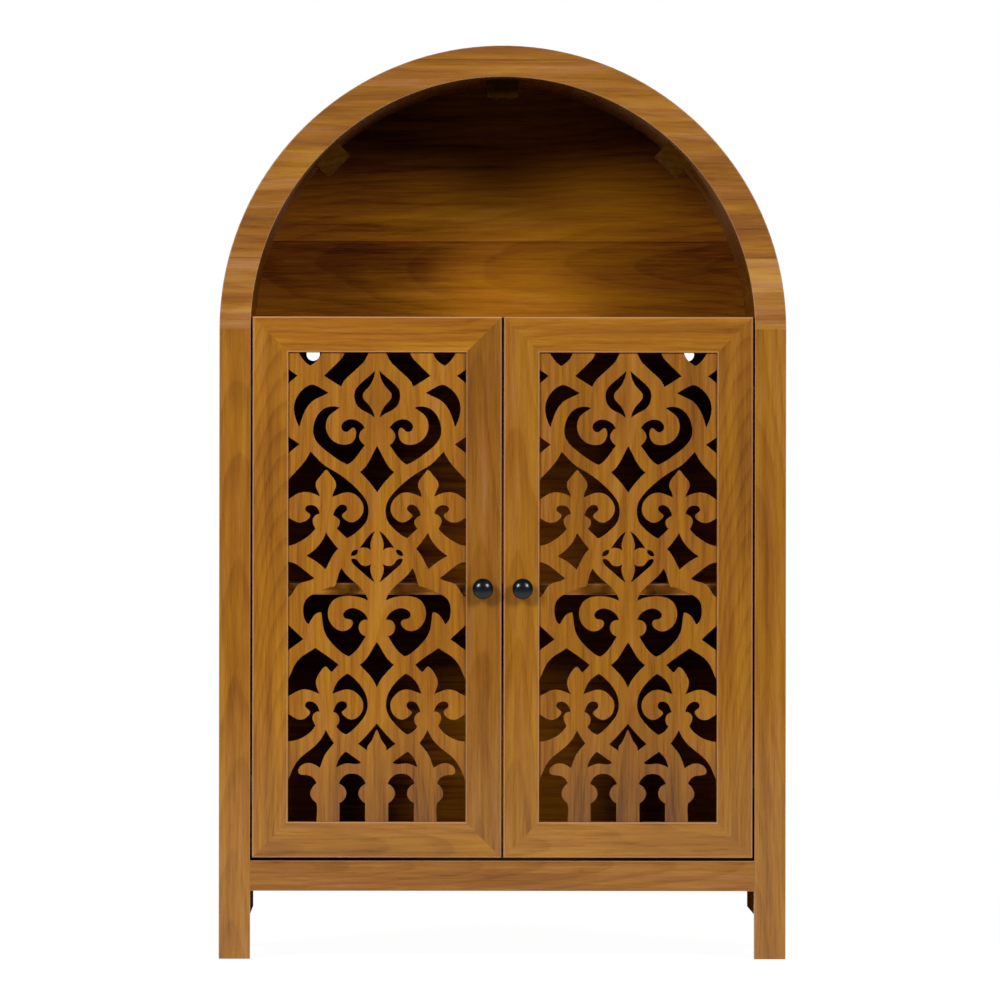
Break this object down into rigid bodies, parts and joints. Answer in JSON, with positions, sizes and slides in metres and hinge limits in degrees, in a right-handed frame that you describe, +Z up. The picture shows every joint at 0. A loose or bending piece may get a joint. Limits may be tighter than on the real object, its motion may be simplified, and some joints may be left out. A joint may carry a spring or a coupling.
{
  "type": "arched fretwork cabinet",
  "caption": "Round-arched wooden cabinet with an open niche above a cupboard closed by hinged doors with pierced fretwork panels and round knobs.",
  "frame": {"origin": "on the floor, in the middle of the box that holds the cabinet and its knobs", "axes": "+Z up, +Y from the doors to the back panel, +X to the right as seen from the front"},
  "size_m": [0.6, 0.322, 0.967],
  "materials": {
    "frame_wood": "satin",
    "door_wood": "satin",
    "fret_wood": "satin",
    "carcass_wood": "satin",
    "back_wood": "satin",
    "dowel_wood": "matte",
    "knob_finish": "gloss",
    "zinc": "satin",
    "screw_steel": "satin",
    "catch_plastic": "matte",
    "magnet": "satin"
  },
  "bodies": {
    "carcass": {"arch_ring": "frame_wood", "post_left": "frame_wood", "post_right": "frame_wood", "front_rail": "frame_wood", "side_panel_left": "carcass_wood", "side_panel_right": "carcass_wood", "side_liner_left": "carcass_wood", "side_liner_right": "carcass_wood", "arch_segment_1": "carcass_wood", "arch_segment_2": "carcass_wood", "arch_segment_3": "carcass_wood", "arch_segment_4": "carcass_wood", "joint_block_left": "carcass_wood", "joint_block_top": "carcass_wood", "joint_block_right": "carcass_wood", "joint_block_screws": "screw_steel", "top_panel": "carcass_wood", "bottom_panel": "carcass_wood", "shelf": "carcass_wood", "shelf_pins": "zinc", "back_panel": "back_wood", "back_panel_screws": "screw_steel", "cam_locks": "zinc", "cam_bolts": "zinc", "dowels": "dowel_wood", "hinge_plates": "zinc", "hinge_arms": "zinc", "hinge_plate_screws": "screw_steel", "catch_case": "catch_plastic", "catch_magnets": "magnet", "catch_screw": "screw_steel"},
    "door_left": {"hinge_stile_left": "door_wood", "meeting_stile_left": "door_wood", "top_rail_left": "door_wood", "bottom_rail_left": "door_wood", "mitre_dowels_left": "dowel_wood", "fret_panel_left": "fret_wood", "panel_beads_left": "door_wood", "knob_left": "knob_finish", "knob_screw_left": "screw_steel", "strike_plate_left": "zinc", "strike_screw_left": "screw_steel", "hinge_cups_left": "zinc", "hinge_cup_screws_left": "screw_steel"},
    "door_right": {"hinge_stile_right": "door_wood", "meeting_stile_right": "door_wood", "top_rail_right": "door_wood", "bottom_rail_right": "door_wood", "mitre_dowels_right": "dowel_wood", "fret_panel_right": "fret_wood", "panel_beads_right": "door_wood", "knob_right": "knob_finish", "knob_screw_right": "screw_steel", "strike_plate_right": "zinc", "strike_screw_right": "screw_steel", "hinge_cups_right": "zinc", "hinge_cup_screws_right": "screw_steel"},
    "hinge_links_left": {"hinge_links_left": "zinc"},
    "hinge_links_right": {"hinge_links_right": "zinc"}
  },
  "joints": [
    {"name": "door_left_hinge", "type": "hinge", "parent": "carcass", "child": "door_left", "pos_m": [-0.266, -0.139, 0.3935], "axis": [0, 0, -1], "range_deg": [0, 100]},
    {"name": "door_right_hinge", "type": "hinge", "parent": "carcass", "child": "door_right", "pos_m": [0.266, -0.139, 0.3935], "axis": [0, 0, 1], "range_deg": [0, 100]},
    {"name": "hinge_links_left_slide", "type": "slide", "parent": "carcass", "child": "hinge_links_left", "axis": [0, -1, 0], "range_m": [0, 0.023]},
    {"name": "hinge_links_right_slide", "type": "slide", "parent": "carcass", "child": "hinge_links_right", "axis": [0, -1, 0], "range_m": [0, 0.023]}
  ],
  "couplings": [
    {"joint": "hinge_links_left_slide", "follows": "door_left_hinge", "m_per_rad": 0.013},
    {"joint": "hinge_links_right_slide", "follows": "door_right_hinge", "m_per_rad": 0.013}
  ]
}
